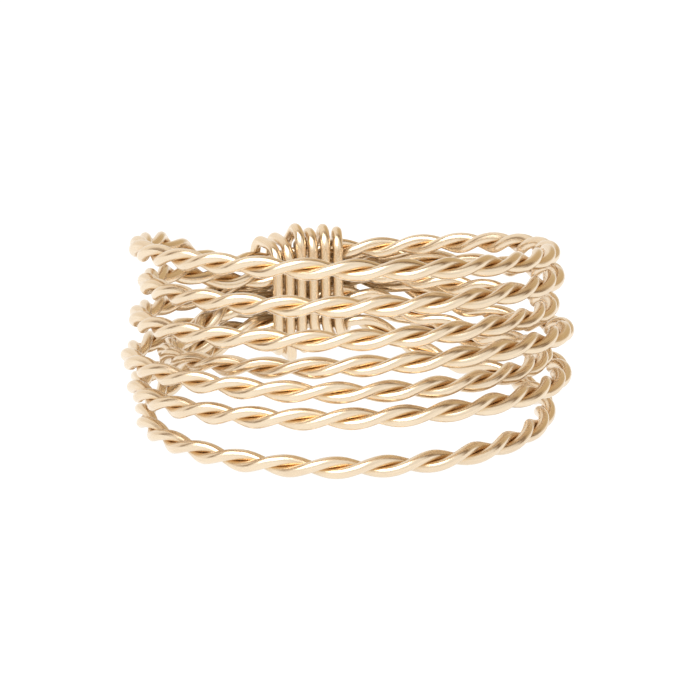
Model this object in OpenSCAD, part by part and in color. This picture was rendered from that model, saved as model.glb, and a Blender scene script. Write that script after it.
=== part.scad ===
// Rope twist ring: one long strand of two twisted wires, coiled seven times round the finger
// and bound at the back by loops of the same wire. It lies on its side, with the finger axis upright.
// The origin is on the finger axis, level with the surface that the lowest turn rests on.
// The front is at -Y, and an angle is counted from there round the finger axis, to the right (+X).

/* [Finger seat] */
// Inner diameter of the ring, the finger's size
finger_d = 17.2; // [17.0:0.1:17.8]

/* [Wire] */
// Diameter of the plain round wire, across its corners
wire_d = 0.45; // [0.4:0.01:0.46]
// Clear space between the two wires of a strand
wire_gap = 0.1; // [0.1:0.01:0.12]
// Full twists of the strand in one turn
twists = 14; // [12:1:16]

/* [Binding] */
// Angle from the back round to the strand's cut inside the binding, toward the left
binding_left = 16; // [14:1:18]
// Height of the binding's middle above the middle of the lowest turn
binding_h = 3.3; // [3.3:0.05:3.5]
// Step down from each pass of the strand through the binding to the next
row_step = 0.56; // [0.55:0.01:0.57]
// Distance between the inner and the outer column of passes
column_step = 1.0; // [1.0:0.02:1.1]
// Angle from each loop of wire to the next
loop_pitch = 4.3; // [4.2:0.1:4.5]
// Clear space between the loops and the strands that they hold
loop_gap = 0.13; // [0.12:0.01:0.16]

/* [Facets] */
// Sides of a wire, and straight steps in each full twist
facets = 6; // [5:1:6]

/* [Hidden] */

// One row for each turn, from the top down. A turn is a tilted and slightly bent circle until it bends
// in to the binding.
// wider: how much its radius is over the ring's, and shift: how far its middle lies to the right
// left, front, right, back: its height there above the lowest turn, the last as if it weren't bound
// phase: how far its twist is turned at the front, in degrees, and fewer: twists a turn under the usual
// bend_left, bend_right: how far from the cut it starts to bend in, in degrees
//   wider shift  left  front right back phase fewer bend_left bend_right
turns = [
    [-0.05, -0.10, 7.55, 8.60, 7.10, 5.80,  58, 0.0, 58,  80],
    [-0.10,  0.20, 5.95, 7.00, 6.05, 4.50, -24, 0.2, 55, 106],
    [ 0.00, -0.15, 4.40, 5.60, 4.75, 3.15,  36, 0.2, 51,  91],
    [-0.30,  0.80, 2.65, 4.40, 3.55, 1.15, 112, 1.0, 89, 101],
    [ 0.05, -0.50, 2.60, 3.35, 2.45, 1.00,  98, 0.6, 100, 82],
    [ 0.35,  0.05, 1.25, 2.30, 1.65, 0.50,  94, 0.1, 80,  70],
    [-0.15, -0.15, 0.00, 0.00, 0.00, 0.00, -40, 0.6, 50,  56]
];
WIDER = 0;
SHIFT = 1;
LEFT = 2;
FRONT = 3;
RIGHT = 4;
BACK = 5;
PHASE = 6;
FEWER = 7;
BEND_LEFT = 8;
BEND_RIGHT = 9;

// One row for each loop of the binding, from the left: slack over the highest pass of the inner column
// that it holds, over that of the outer column, and under its foot
//   inner outer foot
loops = [
    [0.66, 0.10, 0.0],
    [0.76, 0.20, 0.4],
    [0.25, 0.10, 0.0],
    [0.00, 0.05, 0.0],
    [0.15, 0.15, 0.0],
    [0.00, 0.05, 0.0]
];
SLACK_IN = 0;
SLACK_OUT = 1;
SLACK_FOOT = 2;
// The loop over the strand's cut
cut_loop = 2;

// Lay is how far a wire lies from the strand's own middle. At the end of each straight step a corner
// of the wire is turned to its partner, and half way along the step a flat side, and both stay
// half of wire_gap from the strand's middle.
flat_r = wire_d / 2 * cos(180 / facets);
lay = max(wire_gap / 2 + wire_d / 2, (wire_gap / 2 + flat_r) / cos(180 / facets));
strand_d = 2 * (lay + wire_d / 2);
ring_r = (finger_d + strand_d) / 2;
rest_z = strand_d / 2;

// The strand is cut into turns under one loop of the binding, with cut_gap between the ends
cut_gap = 0.12;
binding_at = 180 + binding_left;
cut_angle = 0.5 * cut_gap / ring_r * 180 / PI;
first_at = binding_at - 360 + cut_angle;
last_at = binding_at - cut_angle;
near = 0.5;

// The passes run straight inside the binding, up to this angle from the cut
bound_arc = 15;
// Shares of the way in to the binding in which a turn starts to bend and straightens again
bend_start = 0.75;
bend_end = 0.25;
// Phase of the twist in the binding, the same for all passes, so that the cut ends meet
bound_phase = 40;
passes = len(turns) + 1;
loop_reach = strand_d / 2 + loop_gap + wire_d / 2;
corner_steps = 3;
corners = 4;
loop_points = corners * (corner_steps + 1);

wire_gold = "#d8b88a";
binding_gold = "#cfae80";

function unit(v) = v / norm(v);
function across(v, along) = unit(v - (v * along) * along);
function mix(a, b, share) = a + (b - a) * share;
function round_axis(r, a, z) = [r * sin(a), -r * cos(a), z];

// Passes through the binding, numbered from the top, in two columns
function pass_r(n) = ring_r + (n % 2 == 0 ? -0.5 : 0.5) * column_step;
function pass_z(n) = rest_z + binding_h + ((passes - 1) / 2 - n) * row_step;

// Runs from 0 to 1 with u, slowly at first, and with a round end
bend_slope = 1 / (1 - bend_start / 2 - bend_end / 2);
function ease(u) =
    u <= 0 ? 0
    : u < bend_start ? bend_slope * u * u / (2 * bend_start)
    : u < 1 - bend_end ? bend_slope * (u - bend_start / 2)
    : u < 1 ? 1 - bend_slope * (1 - u) * (1 - u) / (2 * bend_end)
    : 1;

// How far turn t is bent in to the binding at angle a: 0 is not at all, 1 is inside it
function is_left(a) = a < binding_at - 180;
function from_binding(a) = is_left(a) ? a - binding_at + 360 : binding_at - a;
function bend_arc(t, a) = turns[t][is_left(a) ? BEND_LEFT : BEND_RIGHT];
function bent_in(t, a) = ease((bend_arc(t, a) - from_binding(a)) / (bend_arc(t, a) - bound_arc));

// Middle of the strand of turn t at angle a. Its right end is in the pass above its left end.
function free_z(t, a) =
    let (
        row = turns[t],
        side_z = (row[LEFT] + row[RIGHT]) / 2,
        bow = ((row[FRONT] + row[BACK]) / 2 - side_z) / 2
    )
    rest_z + side_z + bow + (row[FRONT] - row[BACK]) / 2 * cos(a)
    + (row[RIGHT] - row[LEFT]) / 2 * sin(a) + bow * cos(2 * a);
function free_point(t, a) =
    round_axis(ring_r + turns[t][WIDER], a, free_z(t, a)) + [turns[t][SHIFT], 0, 0];
function pass_point(n, a) = round_axis(pass_r(n), a, pass_z(n));
function strand_point(t, a) =
    mix(free_point(t, a), pass_point(is_left(a) ? t + 1 : t, a), bent_in(t, a));

// Twist of turn t at angle a. In the binding it is a number of half twists off bound_phase, the one
// that changes the twist least on the way in.
function half_twists(t, a) =
    let (bend = (bend_arc(t, a) + bound_arc) / 2, bend_at = binding_at - (is_left(a) ? 360 - bend : bend))
    round((turns[t][PHASE] - turns[t][FEWER] * bend_at - bound_phase) / 180);
function twist_at(t, a) =
    twists * a
    + mix(turns[t][PHASE] - turns[t][FEWER] * a, bound_phase + 180 * half_twists(t, a), bent_in(t, a));

// The rings of a wire lie at equal steps of the twist: their number, and the angle of ring i
function twist_steps(t) = round((twist_at(t, last_at) - twist_at(t, first_at)) * facets / 360);
function angle_with(t, twist, a, tries = 4) =
    tries == 0 ? a : angle_with(t, twist, a + (twist - twist_at(t, a)) / twists, tries - 1);
function ring_angle(t, i) =
    let (share = i / twist_steps(t))
    angle_with(t, mix(twist_at(t, first_at), twist_at(t, last_at), share), mix(first_at, last_at, share));

// Middle of one wire of turn t: side is 0 for the first wire and 180 for the second
function wire_point(t, a, side) =
    let (
        along = unit(strand_point(t, a + near) - strand_point(t, a - near)),
        outward = across(round_axis(1, a, 0), along),
        upward = cross(outward, along),
        twist = twist_at(t, a) + side
    )
    strand_point(t, a) + lay * (cos(twist) * outward + sin(twist) * upward);

// Polygon around a point of a path, with a corner turned to facing. Its list starts at corner first,
// and stretch widens it across that.
function ring_at(middle, along, facing, first = 0, stretch = 1) =
    let (face = across(facing, along), other = cross(face, along))
    [for (s = [0 : facets - 1])
        let (angle = (s - first) * 360 / facets)
        middle + wire_d / 2 * (cos(angle) * face + stretch * sin(angle) * other)];

// Ring i of a wire. The twist turns by one side in each step, so each list starts one corner later,
// and the wire's own flat sides run on without a twist.
function wire_ring(t, i, side) =
    let (
        a = ring_angle(t, i),
        middle = wire_point(t, a, side),
        along = unit(wire_point(t, a + near, side) - wire_point(t, a - near, side))
    )
    ring_at(middle, along, middle - strand_point(t, a), i);

// A closed tube through a list of rings, with flat ends
module tube(rings) {
    last = len(rings) - 1;
    points = [for (ring = rings) each ring];
    start = [for (s = [facets - 1 : -1 : 0]) s];
    end = [for (s = [0 : facets - 1]) last * facets + s];
    walls = [
        for (r = [0 : last - 1], s = [0 : facets - 1])
            let (
                here = r * facets + s,
                beside = r * facets + (s + 1) % facets
            )
            each [
                [here, beside, here + facets],
                [beside, beside + facets, here + facets]
            ]
    ];
    polyhedron(points, concat([start, end], walls));
}

// Turn t of the strand: its two wires, from the left end in the binding round the front to the right end
module turn(t) {
    color(wire_gold)
        for (side = [0, 180])
            tube([for (i = [0 : twist_steps(t)]) wire_ring(t, i, side)]);
}

// Loops of the binding. Each goes up the outside, over the top, down the inside and back under, with
// a step to the right there. The loops to the left of the cut hold the lower passes, those to its
// right the upper ones, and the one over the cut holds all of them.
function loop_at(n) = binding_at + (cut_loop - n) * loop_pitch;
function inner_z(n) = pass_z(n < cut_loop ? 2 : 0) + loops[n][SLACK_IN];
function outer_z(n) = pass_z(1) + loops[n][SLACK_OUT];
function foot_z(n) = pass_z(n > cut_loop ? passes - 2 : passes - 1) - loops[n][SLACK_FOOT];
function loop_point(n, k) =
    let (
        corner = floor(k / (corner_steps + 1)),
        top_slope = atan2(inner_z(n) - outer_z(n), column_step),
        starts = [0, 90 - top_slope, 180, 270, 360],
        turned = mix(starts[corner], starts[corner + 1], (k % (corner_steps + 1)) / corner_steps),
        stepped = max(0, (turned - 180) / 180),
        column = corner == 0 || corner == 3 ? 0.5 : -0.5,
        corner_z = [outer_z(n), inner_z(n), foot_z(n), foot_z(n)][corner],
        r = ring_r + column * column_step + loop_reach * cos(turned)
    )
    round_axis(r, loop_at(n) - loop_pitch * stepped, corner_z + loop_reach * sin(turned));
outside_r = ring_r + column_step / 2 + loop_reach;
wrap_path = concat(
    [round_axis(outside_r, loop_at(0), rest_z + binding_h)],
    [for (n = [0 : len(loops) - 1], k = [0 : loop_points - 1]) loop_point(n, k)],
    [round_axis(outside_r, loop_at(len(loops)), rest_z + binding_h)]
);

// The wire of the binding. Each ring is widened where the path turns, so that the wire keeps its size.
module binding_wrap() {
    last = len(wrap_path) - 1;
    color(binding_gold)
        tube([
            for (i = [0 : last])
                let (
                    before = unit(wrap_path[max(i, 1)] - wrap_path[max(i, 1) - 1]),
                    after = unit(wrap_path[min(i, last - 1) + 1] - wrap_path[min(i, last - 1)]),
                    sideways = round_axis(1, binding_at - 90, 0)
                )
                ring_at(wrap_path[i], unit(before + after), sideways, 0, 2 / norm(before + after))
        ]);
}

turn(0);  // turn_1
turn(1);  // turn_2
turn(2);  // turn_3
turn(3);  // turn_4
turn(4);  // turn_5
turn(5);  // turn_6
turn(6);  // turn_7
binding_wrap();
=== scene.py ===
import math

import bpy
import numpy as np
from mathutils import Matrix, Vector


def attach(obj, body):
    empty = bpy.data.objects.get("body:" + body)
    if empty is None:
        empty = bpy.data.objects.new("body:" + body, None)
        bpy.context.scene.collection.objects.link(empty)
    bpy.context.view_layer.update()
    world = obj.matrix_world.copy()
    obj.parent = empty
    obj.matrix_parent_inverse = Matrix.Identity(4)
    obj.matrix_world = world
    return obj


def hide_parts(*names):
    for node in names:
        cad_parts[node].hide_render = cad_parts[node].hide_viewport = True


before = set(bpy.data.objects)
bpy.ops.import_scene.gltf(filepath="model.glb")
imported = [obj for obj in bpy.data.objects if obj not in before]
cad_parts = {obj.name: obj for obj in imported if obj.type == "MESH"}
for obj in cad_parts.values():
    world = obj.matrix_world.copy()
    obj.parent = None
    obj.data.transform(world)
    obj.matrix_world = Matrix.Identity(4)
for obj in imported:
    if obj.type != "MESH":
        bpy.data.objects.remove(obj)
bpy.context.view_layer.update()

# Sizes in millimetres, as in the part's source. An angle is counted in degrees from the front (-Y)
# round the finger axis, to the right (+X).
MM = 0.001
FINGER_D = 17.2
SOLID_STRAND_D = 1.0155
RING_R = (FINGER_D + SOLID_STRAND_D) / 2
REST_Z = SOLID_STRAND_D / 2
TWISTS = 14
BINDING_AT = 196.0
BINDING_H = 3.3
ROW_STEP = 0.56
COLUMN_STEP = 1.0
LOOP_PITCH = 4.3
LOOP_GAP = 0.1
BOUND_ARC = 15.0
BEND_START = 0.75
BEND_END = 0.25
BEND_SLOPE = 1 / (1 - BEND_START / 2 - BEND_END / 2)
BOUND_PHASE = 40.0

# The round wires touch here, so the strand is slimmer than its solids, and all of it lies lower by
# half the difference
WIRE_D = 0.485
LAY = 0.240
STRAND_D = 2 * LAY + WIRE_D
DROP = (SOLID_STRAND_D - STRAND_D) / 2
LOOP_REACH = STRAND_D / 2 + LOOP_GAP + WIRE_D / 2

# Steps along a turn, sides of its wires, and how far on and back its direction is taken, in degrees
TURN_STEPS = 420
TURN_SIDES = 16
NEAR = 0.5

# Steps in a loop's corner, the step along the binding when it is evened out, rounds of smoothing,
# and sides of its wire
CORNER_STEPS = 8
BINDING_STEP = 0.09
SMOOTH_ROUNDS = 4
BINDING_SIDES = 20

# One row for each turn, from the top down, with the same columns as in the part's source
WIDER, SHIFT, LEFT, FRONT, RIGHT, BACK, PHASE, FEWER, BEND_LEFT, BEND_RIGHT = range(10)
TURNS = [
    (-0.05, -0.10, 7.55, 8.60, 7.10, 5.80, 58, 0.0, 58, 80),
    (-0.10, 0.20, 5.95, 7.00, 6.05, 4.50, -24, 0.2, 55, 106),
    (0.00, -0.15, 4.40, 5.60, 4.75, 3.15, 36, 0.2, 51, 91),
    (-0.30, 0.80, 2.65, 4.40, 3.55, 1.15, 112, 1.0, 89, 101),
    (0.05, -0.50, 2.60, 3.35, 2.45, 1.00, 98, 0.6, 100, 82),
    (0.35, 0.05, 1.25, 2.30, 1.65, 0.50, 94, 0.1, 80, 70),
    (-0.15, -0.15, 0.00, 0.00, 0.00, 0.00, -40, 0.6, 50, 56),
]
# One row for each loop of the binding, from the left: slack over the inner column, slack over the
# outer column, slack under the foot
LOOPS = [
    (0.66, 0.10, 0.0),
    (0.76, 0.20, 0.4),
    (0.25, 0.10, 0.0),
    (0.00, 0.05, 0.0),
    (0.15, 0.15, 0.0),
    (0.00, 0.05, 0.0),
]
CUT_LOOP = 2
PASSES = len(TURNS) + 1


# Points round the finger axis
def round_axis(r, a, z):
    a = np.radians(a)
    return np.stack([r * np.sin(a), -r * np.cos(a), z + 0 * a], -1)


def unit(v):
    return v / np.linalg.norm(v, axis=-1, keepdims=True)


def across(v, along):
    return unit(v - (v * along).sum(-1, keepdims=True) * along)


def mix(a, b, share):
    return a + (b - a) * share


# Runs from 0 to 1 with u, slowly at first, and with a round end
def ease(u):
    u = np.clip(u, 0, 1)
    start = BEND_SLOPE * u * u / (2 * BEND_START)
    middle = BEND_SLOPE * (u - BEND_START / 2)
    end = 1 - BEND_SLOPE * (1 - u) ** 2 / (2 * BEND_END)
    return np.where(u < BEND_START, start, np.where(u < 1 - BEND_END, middle, end))


# Passes through the binding, numbered from the top
def pass_z(n):
    return REST_Z + BINDING_H + ((PASSES - 1) / 2 - n) * ROW_STEP


# Whether a point is on the turn's left part, the arc that the bend takes there, and how far it is bent
def bend(turn, a):
    left = a < BINDING_AT - 180
    away = np.where(left, a - BINDING_AT + 360, BINDING_AT - a)
    arc = np.where(left, TURNS[turn][BEND_LEFT], TURNS[turn][BEND_RIGHT])
    return left, arc, ease((arc - away) / (arc - BOUND_ARC))


# The middle of a turn's strand: a tilted and slightly bent circle that bends in to the binding
def strand_point(turn, a):
    row = TURNS[turn]
    left, _, bent = bend(turn, a)
    side = (row[LEFT] + row[RIGHT]) / 2
    bow = ((row[FRONT] + row[BACK]) / 2 - side) / 2
    t = np.radians(a)
    z = REST_Z + side + bow + (row[FRONT] - row[BACK]) / 2 * np.cos(t)
    z = z + (row[RIGHT] - row[LEFT]) / 2 * np.sin(t) + bow * np.cos(2 * t)
    free = round_axis(RING_R + row[WIDER], a, z) + np.array([row[SHIFT], 0, 0])
    number = np.where(left, turn + 1, turn)
    r = RING_R + np.where(number % 2 == 0, -0.5, 0.5) * COLUMN_STEP
    return mix(free, round_axis(r, a, pass_z(number)), bent[:, None])


# The twist in degrees, which comes to the same phase for all passes in the binding
def twist_at(turn, a):
    phase = TURNS[turn][PHASE]
    fewer = TURNS[turn][FEWER]
    left, arc, bent = bend(turn, a)
    half_bend = (arc + BOUND_ARC) / 2
    bend_at = BINDING_AT - np.where(left, 360 - half_bend, half_bend)
    half_twists = np.round((phase - fewer * bend_at - BOUND_PHASE) / 180)
    return TWISTS * a + mix(phase - fewer * a, BOUND_PHASE + 180 * half_twists, bent)


# The middle of one wire, the way that its seam faces, and the way to its partner
def wire_points(turn, a, side):
    along = unit(strand_point(turn, a + NEAR) - strand_point(turn, a - NEAR))
    outward = across(round_axis(1, a, 0), along)
    upward = np.cross(outward, along)
    twist = np.radians(twist_at(turn, a) + side)[:, None]
    offset = np.cos(twist) * outward + np.sin(twist) * upward
    return strand_point(turn, a) + LAY * offset, outward, -offset


def length_along(points):
    return np.concatenate([[0], np.cumsum(np.linalg.norm(np.diff(points, axis=0), axis=1))])


# Tubes, with the way round and the length along kept as UV for the wire's drawn finish, and how far
# each point faces the groove kept as an attribute, which masks the painted shade in the grooves
def tube_mesh(name, wires, sides):
    verts = []
    faces = []
    uvs = []
    shade_mask_values = []
    for points, facing, partner in wires:
        n = len(points)
        along = np.empty_like(points)
        along[1:-1] = points[2:] - points[:-2]
        along[0] = points[1] - points[0]
        along[-1] = points[-1] - points[-2]
        along = unit(along)
        face = across(facing, along)
        other = np.cross(face, along)
        length = length_along(points)
        turned = 2 * np.pi * np.arange(sides)[None, :, None] / sides
        normal = np.cos(turned) * face[:, None, :] + np.sin(turned) * other[:, None, :]
        shade_mask_values.append((normal * partner[:, None, :]).sum(-1).ravel())
        base = sum(len(v) for v in verts)
        verts.append((points[:, None, :] + WIRE_D / 2 * normal).reshape(-1, 3))
        for i in range(n - 1):
            here = base + i * sides
            for s in range(sides):
                e = (s + 1) % sides
                faces.append((here + s, here + e, here + sides + e, here + sides + s))
                uvs += [
                    (s / sides, length[i]), ((s + 1) / sides, length[i]),
                    ((s + 1) / sides, length[i + 1]), (s / sides, length[i + 1]),
                ]
        first_ring = range(base, base + sides)
        last_ring = range(base + (n - 1) * sides, base + n * sides)
        faces.append(tuple(reversed(first_ring)))
        faces.append(tuple(last_ring))
        uvs += [(0.5, length[0])] * sides + [(0.5, length[-1])] * sides
    mesh = bpy.data.meshes.new(name)
    co = np.concatenate(verts)
    co[:, 2] -= DROP
    mesh.from_pydata((co * MM).tolist(), [], faces)
    layer = mesh.uv_layers.new(name="wire")
    layer.data.foreach_set("uv", np.array(uvs, np.float32).ravel())
    # Mask for the painted shade in the grooves: how far each point faces its partner wire
    groove_shade_mask = mesh.attributes.new("groove_shade_mask", "FLOAT", "POINT")
    groove_shade_mask.data.foreach_set("value", np.concatenate(shade_mask_values).astype(np.float32))
    mesh.polygons.foreach_set("use_smooth", [True] * len(mesh.polygons))
    mesh.validate()
    mesh.update()
    piece = bpy.data.objects.new(name, mesh)
    bpy.context.collection.objects.link(piece)
    return piece


# Shader nodes that are used more than once
def add_math(tree, operation, *values):
    node = tree.nodes.new("ShaderNodeMath")
    node.operation = operation
    for socket, value in zip(node.inputs, values):
        if isinstance(value, (int, float)):
            socket.default_value = value
        else:
            tree.links.new(value, socket)
    return node.outputs["Value"]


def add_range(tree, value, low, high, first=0.0, last=1.0, kind="LINEAR"):
    node = tree.nodes.new("ShaderNodeMapRange")
    node.interpolation_type = kind
    node.inputs["From Min"].default_value = low
    node.inputs["From Max"].default_value = high
    node.inputs["To Min"].default_value = first
    node.inputs["To Max"].default_value = last
    tree.links.new(value, node.inputs["Value"])
    return node.outputs["Result"]


def add_noise(tree, vector, scale, detail):
    node = tree.nodes.new("ShaderNodeTexNoise")
    node.inputs["Scale"].default_value = scale
    node.inputs["Detail"].default_value = detail
    tree.links.new(vector, node.inputs["Vector"])
    return node


# How much the drawn lines are stretched along the wire, and the shares of lines and clouds in its tone
LINE_STRETCH = 0.12
LINE_SHARE = 0.6
CLOUD_SHARE = 0.4


def wire_material(name, gold, worn, groove_shade):
    mat = bpy.data.materials.new(name)
    mat.use_nodes = True
    tree = mat.node_tree
    nodes = tree.nodes
    links = tree.links
    nodes.clear()
    out = nodes.new("ShaderNodeOutputMaterial")
    bsdf = nodes.new("ShaderNodeBsdfPrincipled")
    links.new(bsdf.outputs["BSDF"], out.inputs["Surface"])
    bsdf.inputs["Metallic"].default_value = 1.0
    bsdf.inputs["Coat Weight"].default_value = 0.2
    bsdf.inputs["Coat Roughness"].default_value = 0.18

    # Fine lines left by the drawing die, along the wire. The way round is bent to a circle, so that
    # the lines have no seam.
    uv = nodes.new("ShaderNodeUVMap")
    uv.uv_map = "wire"
    apart = nodes.new("ShaderNodeSeparateXYZ")
    links.new(uv.outputs["UV"], apart.inputs["Vector"])
    angle = add_math(tree, "MULTIPLY", apart.outputs["X"], 2 * math.pi)
    joined = nodes.new("ShaderNodeCombineXYZ")
    links.new(add_math(tree, "COSINE", angle), joined.inputs["X"])
    links.new(add_math(tree, "SINE", angle), joined.inputs["Y"])
    links.new(add_math(tree, "MULTIPLY", apart.outputs["Y"], LINE_STRETCH), joined.inputs["Z"])
    lines = add_noise(tree, joined.outputs["Vector"], scale=7.0, detail=3.0)
    lines.inputs["Roughness"].default_value = 0.65

    # Slow changes of tone along and across the wire
    place = nodes.new("ShaderNodeTexCoord")
    cloud = add_noise(tree, place.outputs["Object"], scale=900.0, detail=2.0)
    ramp = nodes.new("ShaderNodeValToRGB")
    ramp.color_ramp.elements[0].position = 0.3
    ramp.color_ramp.elements[0].color = (*worn, 1)
    ramp.color_ramp.elements[1].position = 0.7
    ramp.color_ramp.elements[1].color = (*gold, 1)
    from_lines = add_math(tree, "MULTIPLY", lines.outputs["Fac"], LINE_SHARE)
    from_cloud = add_math(tree, "MULTIPLY", cloud.outputs["Fac"], CLOUD_SHARE)
    links.new(add_math(tree, "ADD", from_lines, from_cloud), ramp.inputs["Fac"])

    # Painted shade: warmer and darker in the grooves between the wires, where they shade each other and
    # light bounces warm between them
    shade_mask_node = nodes.new("ShaderNodeAttribute")
    shade_mask_node.attribute_name = "groove_shade_mask"
    share = add_range(tree, shade_mask_node.outputs["Fac"], low=0.15, high=0.85, kind="SMOOTHSTEP")
    tone_and_painted_shade = nodes.new("ShaderNodeMix")
    tone_and_painted_shade.data_type = "RGBA"
    links.new(share, tone_and_painted_shade.inputs["Factor"])
    links.new(ramp.outputs["Color"], tone_and_painted_shade.inputs["A"])
    tone_and_painted_shade.inputs["B"].default_value = (*groove_shade, 1)
    links.new(tone_and_painted_shade.outputs["Result"], bsdf.inputs["Base Color"])

    # Smoother on the lines' ridges
    rough = add_range(tree, lines.outputs["Fac"], low=0.3, high=0.7, first=0.30, last=0.22)
    links.new(rough, bsdf.inputs["Roughness"])
    bump = nodes.new("ShaderNodeBump")
    bump.inputs["Strength"].default_value = 0.25
    bump.inputs["Distance"].default_value = 0.00001
    links.new(lines.outputs["Fac"], bump.inputs["Height"])
    links.new(bump.outputs["Normal"], bsdf.inputs["Normal"])
    return mat


# Warm dark colour of the painted shade in the grooves between the wires
PAINTED_GROOVE_SHADE = (0.74, 0.54, 0.32)
strand_gold = wire_material("strand_gold", gold=(0.85, 0.72, 0.54), worn=(0.76, 0.61, 0.44), groove_shade=PAINTED_GROOVE_SHADE)
binding_gold = wire_material("binding_gold", gold=(0.86, 0.72, 0.53), worn=(0.78, 0.61, 0.42), groove_shade=PAINTED_GROOVE_SHADE)

# Camera, at the photograph's angle above the floor
DISTANCE = 140.0
ELEVATION = math.radians(15.4)
ROLL = math.radians(-0.6)
AIM = Vector((0.1, 0, 3.18 - DROP))
SENSOR_W = 36
PICTURE_W = 700
PIXELS_PER_MM = 22.4
camera_data = bpy.data.cameras.new("camera")
camera = bpy.data.objects.new("camera", camera_data)
bpy.context.collection.objects.link(camera)
bpy.context.scene.camera = camera
camera.location = MM * (AIM + DISTANCE * Vector((0, -math.cos(ELEVATION), math.sin(ELEVATION))))
tilted = Matrix.Rotation(math.radians(90) - ELEVATION, 3, "X")
camera.rotation_euler = (tilted @ Matrix.Rotation(ROLL, 3, "Z")).to_euler()
camera_data.sensor_width = SENSOR_W
camera_data.lens = SENSOR_W * PIXELS_PER_MM * DISTANCE / PICTURE_W
camera_data.clip_start = 0.005
camera_data.clip_end = 5

# The seven turns of the strand
angles = np.linspace(BINDING_AT - 360, BINDING_AT, TURN_STEPS + 1)
for turn in range(len(TURNS)):
    wires = [wire_points(turn, angles, side) for side in (0, 180)]
    piece = tube_mesh(f"strand_turn_{turn + 1}", wires, TURN_SIDES)
    piece.data.materials.append(strand_gold)
    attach(piece, "root")
    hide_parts(f"turn_{turn + 1}")


# The binding: one wire through all its loops, with round corners. A corner is the column it lies over,
# in column steps from the ring's radius, its height, and where it starts and ends to turn.
def loop_path():
    outside = RING_R + 0.5 * COLUMN_STEP + LOOP_REACH
    middle = REST_Z + BINDING_H
    out = [(outside, BINDING_AT + CUT_LOOP * LOOP_PITCH, middle)]
    for n, (slack_in, slack_out, slack_foot) in enumerate(LOOPS):
        at = BINDING_AT + (CUT_LOOP - n) * LOOP_PITCH
        inner = pass_z(2 if n < CUT_LOOP else 0) + slack_in
        outer = pass_z(1) + slack_out
        foot = pass_z(PASSES - 2 if n > CUT_LOOP else PASSES - 1) - slack_foot
        over = 90 - math.degrees(math.atan2(inner - outer, COLUMN_STEP))
        corners = [
            (0.5, outer, 0, over),
            (-0.5, inner, over, 180),
            (-0.5, foot, 180, 270),
            (0.5, foot, 270, 360),
        ]
        for column, corner_z, first, last in corners:
            for turned in np.linspace(first, last, CORNER_STEPS + 1):
                stepped = max(0.0, (turned - 180) / 180)
                r = RING_R + column * COLUMN_STEP + LOOP_REACH * math.cos(math.radians(turned))
                z = corner_z + LOOP_REACH * math.sin(math.radians(turned))
                out.append((r, at - LOOP_PITCH * stepped, z))
    out.append((outside, BINDING_AT + (CUT_LOOP - len(LOOPS)) * LOOP_PITCH, middle))
    rows = np.array(out)
    return round_axis(rows[:, 0], rows[:, 1], rows[:, 2])


def resample(points, step):
    length = length_along(points)
    at = np.linspace(0, length[-1], int(length[-1] / step) + 1)
    return np.stack([np.interp(at, length, points[:, i]) for i in range(3)], -1)


def smooth(points, rounds):
    for _ in range(rounds):
        points[1:-1] = 0.5 * points[1:-1] + 0.25 * (points[:-2] + points[2:])
    return points


path = smooth(resample(loop_path(), BINDING_STEP), SMOOTH_ROUNDS)
sideways = np.repeat(round_axis(1.0, np.array([BINDING_AT - 90]), 0.0), len(path), 0)
from_strands = path - round_axis(RING_R, np.array([BINDING_AT]), REST_Z + BINDING_H)
binding = tube_mesh("binding", [(path, sideways, -unit(from_strands))], BINDING_SIDES)
binding.data.materials.append(binding_gold)
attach(binding, "root")
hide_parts("binding_wrap")

# Floor: pale, and lit from below like a light table, so that it stays white under the ring
bpy.ops.mesh.primitive_plane_add(size=2.0, location=(0, 0, 0))
floor = bpy.context.object
floor.name = "floor"
floor_mat = bpy.data.materials.new("floor_white")
floor_mat.use_nodes = True
floor_shader = floor_mat.node_tree.nodes["Principled BSDF"]
floor_shader.inputs["Base Color"].default_value = (0.15, 0.15, 0.15, 1)
floor_shader.inputs["Roughness"].default_value = 0.9
floor_shader.inputs["Specular IOR Level"].default_value = 0.0
floor_shader.inputs["Emission Color"].default_value = (1, 1, 1, 1)
floor_shader.inputs["Emission Strength"].default_value = 0.95
floor.data.materials.append(floor_mat)

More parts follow.
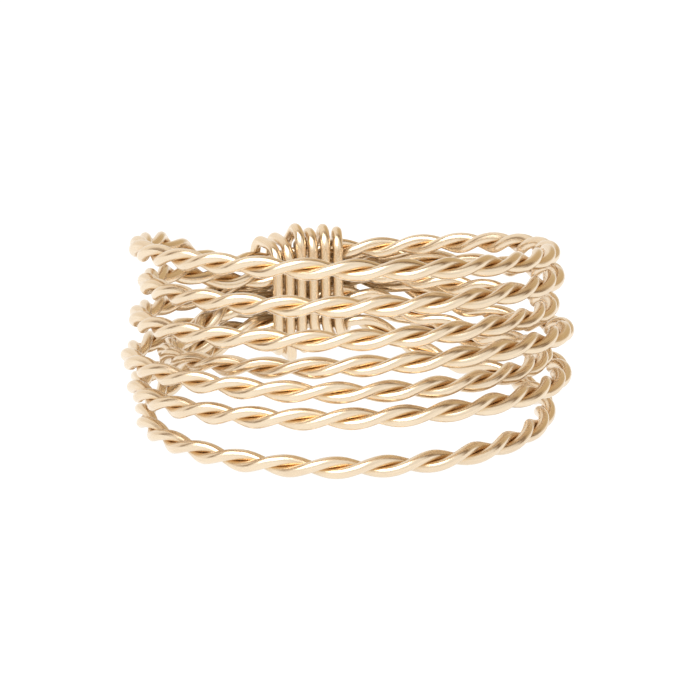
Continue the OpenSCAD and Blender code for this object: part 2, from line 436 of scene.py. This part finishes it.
# Light: a soft white room, with a bright front and back, a dim gap between them overhead and at the
# sides, a warm dim corner at the upper back right, and more light from the left. A row of its walls is
# the share of the way from the front to the back, and the colour there.
WALLS = [
    (0.00, (0.84, 0.83, 0.81)),
    (0.12, (0.95, 0.95, 0.94)),
    (0.30, (1.05, 1.05, 1.05)),
    (0.37, (0.90, 0.82, 0.71)),
    (0.41, (0.20, 0.11, 0.04)),
    (0.52, (0.20, 0.11, 0.04)),
    (0.57, (0.92, 0.84, 0.75)),
    (1.00, (0.97, 0.94, 0.90)),
]
LIGHT_LEFT = 1.10
LIGHT_RIGHT = 1.02
CORNER = Vector((0.62, 0.52, 0.58)).normalized()
CORNER_TINT = (0.70, 0.58, 0.39)
world = bpy.data.worlds.new("studio")
bpy.context.scene.world = world
world.use_nodes = True
room = world.node_tree
background = room.nodes["Background"]
facing = room.nodes.new("ShaderNodeTexCoord")
parts = room.nodes.new("ShaderNodeSeparateXYZ")
room.links.new(facing.outputs["Generated"], parts.inputs["Vector"])
walls = room.nodes.new("ShaderNodeValToRGB")
for position, _ in WALLS[1:-1]:
    walls.color_ramp.elements.new(position)
for stop, (_, colour) in zip(walls.color_ramp.elements, WALLS):
    stop.color = (*colour, 1)
room.links.new(add_range(room, parts.outputs["Y"], low=-1.0, high=1.0), walls.inputs["Fac"])
corner = room.nodes.new("ShaderNodeVectorMath")
corner.operation = "DOT_PRODUCT"
corner.inputs[1].default_value = CORNER
room.links.new(facing.outputs["Generated"], corner.inputs[0])
warm = room.nodes.new("ShaderNodeMix")
warm.data_type = "RGBA"
warm.blend_type = "MULTIPLY"
near_corner = add_range(room, corner.outputs["Value"], low=0.66, high=0.92, kind="SMOOTHSTEP")
room.links.new(near_corner, warm.inputs["Factor"])
room.links.new(walls.outputs["Color"], warm.inputs["A"])
warm.inputs["B"].default_value = (*CORNER_TINT, 1)
room.links.new(warm.outputs["Result"], background.inputs["Color"])
side_light = add_range(room, parts.outputs["X"], low=-1.0, high=1.0, first=LIGHT_LEFT, last=LIGHT_RIGHT)
room.links.new(side_light, background.inputs["Strength"])

# A large soft light over the camera's left shoulder, in metres and watts
KEY_AT = Vector((-0.09, -0.15, 0.22))
KEY_TARGET = Vector((0, 0, 0.004))
key_data = bpy.data.lights.new("key", "AREA")
key_data.shape = "RECTANGLE"
key_data.size = 0.26
key_data.size_y = 0.20
key_data.energy = 0.7
key = bpy.data.objects.new("key", key_data)
bpy.context.collection.objects.link(key)
key.location = KEY_AT
key.rotation_euler = (KEY_TARGET - KEY_AT).to_track_quat("-Z", "Y").to_euler()

bpy.context.scene.view_settings.view_transform = "Standard"
